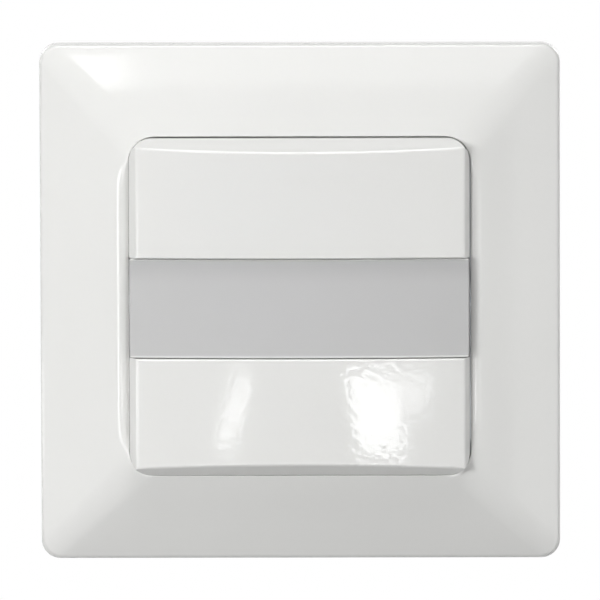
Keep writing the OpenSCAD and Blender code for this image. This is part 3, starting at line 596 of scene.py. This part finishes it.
# rounds the top and sides of the housing's back: rings are inset, then set forward
def softenHousing(nodeName, form):
    ringRoom, cornerRoom, backFrom = 0.015, 0.05, 0.99
    piece = mergedCopy(nodeName, form["piece"])
    rear = min(level(v) for v in piece.data.vertices) + touch
    back = [v for v in piece.data.vertices if level(v) < rear]
    wide, tall = max(across(v) for v in back), max(height(v) for v in back)
    corner, radius, steps = form["corner"], form["edge"], form["steps"]
    turns = [math.radians(90 * k / steps) for k in range(steps + 1)]
    insets = [radius * (1 - math.cos(turn)) for turn in turns]

    def awayFromEdge(v):
        out = Vector((max(abs(across(v)) - wide + corner, 0),
                      max(abs(height(v)) - tall + corner, 0)))
        return corner - out.length

    openEdit(piece)
    pick("FACE", lambda f: facesWall(f, backFrom) and all(level(v) < rear for v in f.verts))
    for near, far in zip(insets, insets[1:]):
        bpy.ops.mesh.inset(thickness=(far - near) * mm)
    for turn, inset in zip(turns, insets):
        pick("VERT", lambda v: level(v) < rear and abs(awayFromEdge(v) - inset) < ringRoom
             and (height(v) > -tall + corner or abs(across(v)) > wide - corner - cornerRoom))
        shift(outward=radius * (1 - math.sin(turn)))
    closeEdit()
    smoothLook(piece)
    return piece


softened = {name: softenEdges(name, form) for name, form in softForm.items()}
softened["housing_rear"] = softenHousing("housing_rear", housingForm)
print("edges softened on", len(softened), "pieces")


# finishes

def newGroup(name, inputs, outputs):
    group = bpy.data.node_groups.new(name, "ShaderNodeTree")
    for label, value in inputs.items():
        socket = group.interface.new_socket(
            name=label, in_out="INPUT", socket_type="NodeSocketFloat")
        socket.default_value = value
    for label in outputs:
        group.interface.new_socket(name=label, in_out="OUTPUT", socket_type="NodeSocketFloat")
    return group, group.nodes.new("NodeGroupInput"), group.nodes.new("NodeGroupOutput")


# moulded skin: soft mottling of the colour, and the slow wrinkles of a glossy moulding
def makeMouldedSkin():
    group, given, result = newGroup(
        "mouldedSkin", {"Mottle Size": 60.0, "Peel Size": 330.0}, ("Mottle", "Peel"))
    place = group.nodes.new("ShaderNodeTexCoord")
    for size, label, detail in (("Mottle Size", "Mottle", 3.0), ("Peel Size", "Peel", 1.5)):
        noise = group.nodes.new("ShaderNodeTexNoise")
        noise.inputs["Detail"].default_value = detail
        noise.inputs["Roughness"].default_value = 0.5
        group.links.new(place.outputs["Object"], noise.inputs["Vector"])
        group.links.new(given.outputs[size], noise.inputs["Scale"])
        group.links.new(noise.outputs["Fac"], result.inputs[label])
    return group


# plated metal: fine drawn lines along one way and cloudy plating
def makePlatedSkin():
    group, given, result = newGroup(
        "platedSkin", {"Line Size": 900.0, "Cloud Size": 120.0}, ("Lines", "Clouds"))
    place = group.nodes.new("ShaderNodeTexCoord")
    stretch = group.nodes.new("ShaderNodeMapping")
    stretch.inputs["Scale"].default_value = (0.04, 1.0, 1.0)
    lines = group.nodes.new("ShaderNodeTexNoise")
    lines.inputs["Detail"].default_value = 2.0
    clouds = group.nodes.new("ShaderNodeTexVoronoi")
    clouds.feature = "SMOOTH_F1"
    group.links.new(place.outputs["Object"], stretch.inputs["Vector"])
    group.links.new(stretch.outputs["Vector"], lines.inputs["Vector"])
    group.links.new(given.outputs["Line Size"], lines.inputs["Scale"])
    group.links.new(place.outputs["Object"], clouds.inputs["Vector"])
    group.links.new(given.outputs["Cloud Size"], clouds.inputs["Scale"])
    group.links.new(lines.outputs["Fac"], result.inputs["Lines"])
    group.links.new(clouds.outputs["Distance"], result.inputs["Clouds"])
    return group


# milky strip with painted light: a painted highlight along its rounded long edges, and a painted
# shadow of the upper plate darkening it under its upper edge
def makeStripPaintedLight():
    # heights in mm between which the painted highlight and the painted shadow fade in
    limits = {"Turned From": 7.70, "Turned To": 7.92, "Deep From": 3.6, "Deep To": 7.6}
    group, given, result = newGroup("stripZones", limits, ("Turned", "Deep"))
    place = group.nodes.new("ShaderNodeTexCoord")
    split = group.nodes.new("ShaderNodeSeparateXYZ")
    scale = group.nodes.new("ShaderNodeMath")
    scale.operation = "MULTIPLY"
    scale.inputs[1].default_value = 1 / mm
    size = group.nodes.new("ShaderNodeMath")
    size.operation = "ABSOLUTE"
    group.links.new(place.outputs["Object"], split.inputs["Vector"])
    group.links.new(split.outputs["Z"], scale.inputs[0])
    group.links.new(scale.outputs["Value"], size.inputs[0])
    for source, label in ((size, "Turned"), (scale, "Deep")):
        zone = group.nodes.new("ShaderNodeMapRange")
        zone.interpolation_type = "SMOOTHSTEP"
        group.links.new(source.outputs["Value"], zone.inputs["Value"])
        group.links.new(given.outputs[label + " From"], zone.inputs["From Min"])
        group.links.new(given.outputs[label + " To"], zone.inputs["From Max"])
        group.links.new(zone.outputs["Result"], result.inputs[label])
    return group


mouldedSkin = makeMouldedSkin()
platedSkin = makePlatedSkin()
stripZones = makeStripPaintedLight()


# stretches the middle of a noise, where most of it lies, over a range of values
def spread(tree, source, low, high):
    rangeNode = tree.nodes.new("ShaderNodeMapRange")
    limits = {"From Min": 0.3, "From Max": 0.7, "To Min": low, "To Max": high}
    for label, value in limits.items():
        rangeNode.inputs[label].default_value = value
    tree.links.new(source, rangeNode.inputs["Value"])
    return rangeNode.outputs["Result"]


# mixes two colours by a mask; the first may be a colour or another node's output
def blendColour(tree, source, first, second):
    mix = tree.nodes.new("ShaderNodeMix")
    mix.data_type = "RGBA"
    if isinstance(first, tuple):
        mix.inputs["A"].default_value = (*first, 1)
    else:
        tree.links.new(first, mix.inputs["A"])
    mix.inputs["B"].default_value = (*second, 1)
    tree.links.new(source, mix.inputs["Factor"])
    return mix.outputs["Result"]


# what a finish has unless it says otherwise; the depth of its relief is in mm
plainLook = {"metal": 0.0, "skin": {}, "bump": 0.6, "depth": 0.01,
             "ior": 1.5, "specular": 0.5, "clear": 0.0}


def makeFinish(name, ownLook):
    look = {**plainLook, **ownLook}
    material = bpy.data.materials.new(name)
    material.use_nodes = True
    tree = material.node_tree
    shader = tree.nodes["Principled BSDF"]
    skin = tree.nodes.new("ShaderNodeGroup")
    skin.node_tree = platedSkin if look["metal"] else mouldedSkin
    for label, value in look["skin"].items():
        skin.inputs[label].default_value = value
    tint = skin.outputs["Clouds" if look["metal"] else "Mottle"]
    fine = skin.outputs["Lines" if look["metal"] else "Peel"]
    colour = blendColour(tree, tint, look["dark"], look["light"])
    # painted light on the lens strip: a painted shadow darkens it under its upper edge, then a
    # painted highlight pales its long edges
    if "turned" in look:
        paintedLightZones = tree.nodes.new("ShaderNodeGroup")
        paintedLightZones.node_tree = stripZones
        colour = blendColour(tree, paintedLightZones.outputs["Deep"], colour, look["deep"])
        # the painted highlight along the lens's rounded long edges
        colour = blendColour(tree, paintedLightZones.outputs["Turned"], colour, look["turned"])
    tree.links.new(colour, shader.inputs["Base Color"])
    tree.links.new(spread(tree, tint, *look["rough"]), shader.inputs["Roughness"])
    bump = tree.nodes.new("ShaderNodeBump")
    bump.inputs["Strength"].default_value = look["bump"]
    bump.inputs["Distance"].default_value = look["depth"] * mm
    tree.links.new(fine, bump.inputs["Height"])
    tree.links.new(bump.outputs["Normal"], shader.inputs["Normal"])
    shader.inputs["Metallic"].default_value = look["metal"]
    shader.inputs["IOR"].default_value = look["ior"]
    shader.inputs["Specular IOR Level"].default_value = look["specular"]
    shader.inputs["Transmission Weight"].default_value = look["clear"]
    return material


finishes = {
    "glossWhite": {"dark": (0.735, 0.735, 0.719), "light": (0.765, 0.765, 0.749),
                   "rough": (0.03, 0.05), "skin": {"Mottle Size": 45, "Peel Size": 850},
                   "bump": 1.0, "depth": 0.0125},
    # the lens's two extra colours are painted light: a darker one for the painted shadow under its
    # upper edge, a pale one for the painted highlight along its long edges
    "milkyLens": {"dark": (0.474, 0.474, 0.473), "light": (0.502, 0.502, 0.501),
                  "rough": (0.42, 0.55), "skin": {"Mottle Size": 70, "Peel Size": 2500},
                  "deep": (0.430, 0.430, 0.430), "turned": (0.76, 0.76, 0.755),
                  "bump": 0.4, "depth": 0.004, "specular": 0.35},
    "holderGrey": {"dark": (0.56, 0.56, 0.55), "light": (0.62, 0.62, 0.61), "rough": (0.5, 0.62)},
    "zincPlate": {"dark": (0.50, 0.52, 0.55), "light": (0.68, 0.69, 0.70),
                  "rough": (0.28, 0.44), "skin": {"Line Size": 700, "Cloud Size": 260},
                  "metal": 1.0, "bump": 0.25, "depth": 0.01},
    "housingPale": {"dark": (0.66, 0.66, 0.63), "light": (0.72, 0.72, 0.69),
                    "rough": (0.42, 0.55), "skin": {"Mottle Size": 120, "Peel Size": 1800},
                    "bump": 0.5, "depth": 0.012},
    "housingGrey": {"dark": (0.44, 0.45, 0.46), "light": (0.52, 0.53, 0.54),
                    "rough": (0.42, 0.56), "skin": {"Mottle Size": 120, "Peel Size": 1800},
                    "bump": 0.5, "depth": 0.012},
    "screwSteel": {"dark": (0.48, 0.49, 0.51), "light": (0.66, 0.67, 0.68),
                   "rough": (0.2, 0.34), "skin": {"Line Size": 2500, "Cloud Size": 500},
                   "metal": 1.0, "bump": 0.2, "depth": 0.006},
    "boardGreen": {"dark": (0.008, 0.085, 0.035), "light": (0.014, 0.13, 0.055),
                   "rough": (0.25, 0.38), "skin": {"Mottle Size": 260, "Peel Size": 900},
                   "depth": 0.02},
    "blackPlastic": {"dark": (0.012, 0.012, 0.013), "light": (0.022, 0.022, 0.024),
                     "rough": (0.4, 0.55)},
    "canMetal": {"dark": (0.66, 0.66, 0.66), "light": (0.78, 0.78, 0.77),
                 "rough": (0.14, 0.24), "skin": {"Line Size": 2000, "Cloud Size": 400},
                 "metal": 1.0, "bump": 0.15, "depth": 0.004},
    "filterDark": {"dark": (0.008, 0.008, 0.012), "light": (0.014, 0.014, 0.02),
                   "rough": (0.06, 0.1)},
    "lampRed": {"dark": (0.50, 0.015, 0.012), "light": (0.62, 0.03, 0.02),
                "rough": (0.08, 0.14), "clear": 0.35},
    "cellOchre": {"dark": (0.50, 0.22, 0.06), "light": (0.66, 0.34, 0.12), "rough": (0.25, 0.4)},
    "trimmerBlue": {"dark": (0.012, 0.055, 0.27), "light": (0.02, 0.075, 0.34),
                    "rough": (0.28, 0.4)},
    "rotorWhite": {"dark": (0.70, 0.70, 0.68), "light": (0.78, 0.78, 0.76), "rough": (0.35, 0.5)},
    "relayBlue": {"dark": (0.008, 0.012, 0.035), "light": (0.014, 0.02, 0.05),
                  "rough": (0.3, 0.42)},
    "filmYellow": {"dark": (0.52, 0.31, 0.012), "light": (0.60, 0.38, 0.02),
                   "rough": (0.25, 0.35)},
    "sleeveNavy": {"dark": (0.01, 0.012, 0.045), "light": (0.016, 0.02, 0.06),
                   "rough": (0.2, 0.3)},
    "dippedBlue": {"dark": (0.01, 0.045, 0.24), "light": (0.016, 0.07, 0.32),
                   "rough": (0.16, 0.26)},
    "resistorTan": {"dark": (0.24, 0.13, 0.06), "light": (0.34, 0.2, 0.1), "rough": (0.4, 0.55)},
    "terminalGreen": {"dark": (0.012, 0.13, 0.06), "light": (0.018, 0.17, 0.08),
                      "rough": (0.35, 0.48)},
    "contactBrass": {"dark": (0.52, 0.34, 0.10), "light": (0.68, 0.47, 0.17),
                     "rough": (0.22, 0.34), "skin": {"Line Size": 2500, "Cloud Size": 500},
                     "metal": 1.0, "bump": 0.2, "depth": 0.006},
}
made = {name: makeFinish(name, look) for name, look in finishes.items()}

nodeFinish = {
    "cover_frame": "glossWhite", "front_cover": "glossWhite", "lens": "milkyLens",
    "lens_holder": "holderGrey", "support_plate": "zincPlate", "housing_front": "housingPale",
    "housing_rear": "housingGrey", "housing_screws": "screwSteel", "sensor_board": "boardGreen",
    "power_board": "boardGreen", "board_header": "blackPlastic", "pir_sensor": "canMetal",
    "pir_window": "filterDark", "indicator_led": "lampRed", "light_sensor": "cellOchre",
    "control_chip": "blackPlastic",
    "time_trimmer_base": "trimmerBlue", "lux_trimmer_base": "trimmerBlue",
    "time_trimmer_rotor": "rotorWhite", "lux_trimmer_rotor": "rotorWhite",
    "relay": "relayBlue", "film_capacitor": "filmYellow", "electrolytic_capacitor": "sleeveNavy",
    "varistor": "dippedBlue", "fusible_resistor": "resistorTan",
    "terminal_block": "terminalGreen", "terminal_contacts": "contactBrass",
    "terminal_cage_1": "screwSteel", "terminal_screw_1": "screwSteel",
    "terminal_cage_2": "screwSteel", "terminal_screw_2": "screwSteel",
    "terminal_cage_3": "screwSteel", "terminal_screw_3": "screwSteel",
    "claw_left": "zincPlate", "claw_right": "zincPlate", "claw_screw_left": "screwSteel",
    "claw_screw_right": "screwSteel", "claw_pins": "screwSteel",
}
for name, node in nodes.items():
    node.data.materials.clear()
    node.data.materials.append(made[nodeFinish[name]])


def dress(piece, finish, body, slot, *replaced):
    piece.data.materials.clear()
    piece.data.materials.append(made[finish])
    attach(piece, body)
    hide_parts(*replaced)


modelled = {**softened, "cover_frame": coverFrame, "front_cover": frontCover, "lens": sensorLens}
bodyAndSlot = {
    "housing_rear": ("mechanism", "housing_rear_plastic"), "relay": ("mechanism", "relay_case"),
    "film_capacitor": ("mechanism", "film_case"), "lens_holder": ("cover", "holder_plastic"),
    "cover_frame": ("frame", "gloss_white"), "front_cover": ("cover", "gloss_white"),
    "lens": ("cover", "lens_milky"),
}
for name, piece in modelled.items():
    dress(piece, nodeFinish[name], *bodyAndSlot[name], name)
print("finishes made:", len(made))


# stage, light and camera; sizes and places in metres

stageForm = {
    "floorLevel": -0.30, "floorSize": 3.0, "floorColour": 0.38, "floorRough": 0.9,
    "ambient": 0.178, "backdrop": 1.0,
    "glow": {"From Min": 0.25, "From Max": 0.80, "To Min": 0.70, "To Max": 1.0},
}


# a mix whose first shader lights the part; its second, for the caller to link, is what is seen
def whiteForView(tree, otherShader):
    path = tree.nodes.new("ShaderNodeLightPath")
    either = tree.nodes.new("ShaderNodeMath")
    either.operation = "MAXIMUM"
    anyRay = tree.nodes.new("ShaderNodeMath")
    anyRay.operation = "MAXIMUM"
    tree.links.new(path.outputs["Is Camera Ray"], either.inputs[0])
    tree.links.new(path.outputs["Is Glossy Ray"], either.inputs[1])
    tree.links.new(either.outputs["Value"], anyRay.inputs[0])
    tree.links.new(path.outputs["Is Transmission Ray"], anyRay.inputs[1])
    mix = tree.nodes.new("ShaderNodeMixShader")
    tree.links.new(anyRay.outputs["Value"], mix.inputs["Fac"])
    tree.links.new(otherShader, mix.inputs[1])
    return mix


def makeWorld(form):
    world = bpy.data.worlds.new("studio")
    bpy.context.scene.world = world
    world.use_nodes = True
    tree = world.node_tree
    light, seen = tree.nodes["Background"], tree.nodes.new("ShaderNodeBackground")
    for background, strength in ((light, form["ambient"]), (seen, form["backdrop"])):
        background.inputs["Color"].default_value = (1, 1, 1, 1)
        background.inputs["Strength"].default_value = strength
    mix = whiteForView(tree, light.outputs["Background"])
    tree.links.new(seen.outputs["Background"], mix.inputs[2])
    tree.links.new(mix.outputs["Shader"], tree.nodes["World Output"].inputs["Surface"])


def makeFloor(form):
    startFresh()
    bpy.ops.mesh.primitive_plane_add(size=form["floorSize"], location=(0, 0, form["floorLevel"]))
    floor = bpy.context.object
    floor.name = "studioFloor"
    paper = bpy.data.materials.new("floorPaper")
    paper.use_nodes = True
    tree = paper.node_tree
    matt = tree.nodes["Principled BSDF"]
    matt.inputs["Base Color"].default_value = (form["floorColour"],) * 3 + (1,)
    matt.inputs["Roughness"].default_value = form["floorRough"]
    matt.inputs["Specular IOR Level"].default_value = 0.0
    # the paper glows, and more where the lamps no longer reach it
    place = tree.nodes.new("ShaderNodeTexCoord")
    away = tree.nodes.new("ShaderNodeVectorMath")
    away.operation = "LENGTH"
    fade = tree.nodes.new("ShaderNodeMapRange")
    for label, value in form["glow"].items():
        fade.inputs[label].default_value = value
    glow = tree.nodes.new("ShaderNodeEmission")
    tree.links.new(place.outputs["Object"], away.inputs[0])
    tree.links.new(away.outputs["Value"], fade.inputs["Value"])
    tree.links.new(fade.outputs["Result"], glow.inputs["Strength"])
    lit = tree.nodes.new("ShaderNodeAddShader")
    tree.links.new(matt.outputs["BSDF"], lit.inputs[0])
    tree.links.new(glow.outputs["Emission"], lit.inputs[1])
    mix = whiteForView(tree, matt.outputs["BSDF"])
    tree.links.new(lit.outputs["Shader"], mix.inputs[2])
    # seen from underneath, the paper is clear
    under = tree.nodes.new("ShaderNodeNewGeometry")
    clear = tree.nodes.new("ShaderNodeBsdfTransparent")
    oneSided = tree.nodes.new("ShaderNodeMixShader")
    tree.links.new(under.outputs["Backfacing"], oneSided.inputs["Fac"])
    tree.links.new(mix.outputs["Shader"], oneSided.inputs[1])
    tree.links.new(clear.outputs["BSDF"], oneSided.inputs[2])
    tree.links.new(oneSided.outputs["Shader"], tree.nodes["Material Output"].inputs["Surface"])
    floor.data.materials.append(paper)


# softboxes and lamps, all aimed at the switch; an unseen one gives no reflection
softboxes = {
    "overheadSoftbox": {"place": (0.0, -0.58, 1.10), "size": (0.9, 0.2), "watts": 7.18},
    "leftSoftbox": {"place": (-1.05, -0.60, 0.10), "size": (0.7, 0.8), "watts": 0.25},
    "rightSoftbox": {"place": (1.05, -0.60, 0.10), "size": (0.7, 0.8), "watts": 1.8},
    "farRightLamp": {"place": (1.10, -0.05, 0.10), "size": (0.5, 0.5), "watts": 1.9,
                     "unseen": True},
    "backLeftSoftbox": {"place": (-0.75, 0.95, 0.45), "size": (0.5, 0.5), "watts": 0.30,
                        "spread": 30},
    "backRightSoftbox": {"place": (0.75, 0.95, 0.45), "size": (0.5, 0.5), "watts": 0.30,
                         "spread": 30},
    "nearLeftLamp": {"place": (-0.26, -0.40, 0.06), "size": (0.15, 0.20), "watts": 1.44,
                     "unseen": True},
}
# panes show only as reflections: windows on the lower plate and on the frame's upper left corner,
# and thin lines along rounded edges
panes = {
    "rightPane": {"place": (0.0310, -0.311, -0.0617), "size": (0.0218, 0.0165), "watts": 0.0084,
                  "rows": 6, "lean": 0.0066},
    "dimPane": {"place": (0.0470, -0.311, -0.0575), "size": (0.0150, 0.0090), "watts": 0.0018,
                "rows": 3, "lean": -0.0020},
    "leftPane": {"place": (-0.0322, -0.311, -0.0612), "size": (0.0089, 0.0150), "watts": 0.0023,
                 "rows": 6, "lean": -0.0099},
    "cornerPane": {"place": (-0.0405, -0.241, 0.2245), "size": (0.0130, 0.0240), "watts": 0.0034,
                   "tilt": 37},
    "ceilingPane": {"place": (0.0, -0.758, 0.691), "size": (0.70, 0.15), "watts": 0.42,
                    "tilt": 39.6},
    "lowPane": {"place": (0.0, -0.360, -0.172), "size": (0.19, 0.13), "watts": 0.45, "tilt": -26},
    "highPane": {"place": (0.0, -0.280, 0.530), "size": (0.30, 0.22), "watts": 0.40, "tilt": 62},
    "crestPane": {"place": (-0.216, -0.450, -0.072), "size": (0.17, 0.07), "watts": 0.26,
                  "aimed": True},
    "platePane": {"place": (-0.490, -0.087, -0.086), "size": (0.20, 0.026), "watts": 0.09,
                  "aimed": True},
}


def addLamp(name, place, size, watts):
    startFresh()
    bpy.ops.object.light_add(type="AREA", location=place)
    lamp = bpy.context.object
    lamp.name = name
    lamp.data.shape = "RECTANGLE"
    lamp.data.size, lamp.data.size_y = size
    lamp.data.energy = watts
    lamp.visible_camera = False
    return lamp


def aimAtSwitch(lamp):
    lamp.rotation_euler = lamp.location.to_track_quat("Z", "Y").to_euler()


def makeSoftbox(name, box):
    lamp = addLamp(name, box["place"], box["size"], box["watts"])
    lamp.data.spread = math.radians(box.get("spread", 180))
    lamp.visible_glossy = not box.get("unseen", False)
    aimAtSwitch(lamp)


# a leaning pane is a stack of rows, each set a little further to the side
def makePane(name, pane):
    rows = pane.get("rows", 1)
    wide, high = pane["size"]
    for row in range(rows):
        down = (row + 0.5) / rows - 0.5
        offset = Vector((pane.get("lean", 0) * down, 0, -high * down))
        lamp = addLamp(f"{name}{row + 1}", Vector(pane["place"]) + offset,
                       (wide, high / rows), pane["watts"] / rows)
        if pane.get("aimed"):
            aimAtSwitch(lamp)
        else:
            lamp.rotation_euler = (math.radians(90 - pane.get("tilt", 0)), 0, 0)
        lamp.visible_diffuse = False
        lamp.visible_transmission = False


# the aim is given in mm from the middle of the part, in the picture's plane
cameraForm = {"azimuth": 0.56, "elevation": 8.0, "roll": -0.18, "lens": 964.2, "distance": 2.6,
              "aimRight": -0.0495, "aimUp": -0.0788, "sensor": 36, "clip": (0.1, 20)}


def makeCamera(form):
    azimuth, elevation = math.radians(form["azimuth"]), math.radians(form["elevation"])
    back = Vector((math.sin(azimuth) * math.cos(elevation),
                   -math.cos(azimuth) * math.cos(elevation), math.sin(elevation)))
    startFresh()
    bpy.ops.object.camera_add()
    camera = bpy.context.object
    turn = (-back).to_track_quat("-Z", "Y")
    right, up = turn @ Vector((1, 0, 0)), turn @ Vector((0, 1, 0))
    aim = right * form["aimRight"] * mm + up * form["aimUp"] * mm
    camera.rotation_mode = "QUATERNION"
    camera.rotation_quaternion = turn @ Quaternion((0, 0, 1), math.radians(form["roll"]))
    camera.location = aim + back * form["distance"]
    camera.data.lens = form["lens"]
    camera.data.sensor_width = form["sensor"]
    camera.data.clip_start, camera.data.clip_end = form["clip"]
    bpy.context.scene.camera = camera


makeWorld(stageForm)
makeFloor(stageForm)
for name, box in softboxes.items():
    makeSoftbox(name, box)
for name, pane in panes.items():
    makePane(name, pane)
makeCamera(cameraForm)
bpy.context.scene.view_settings.view_transform = "Standard"
print("stage, light and camera set")
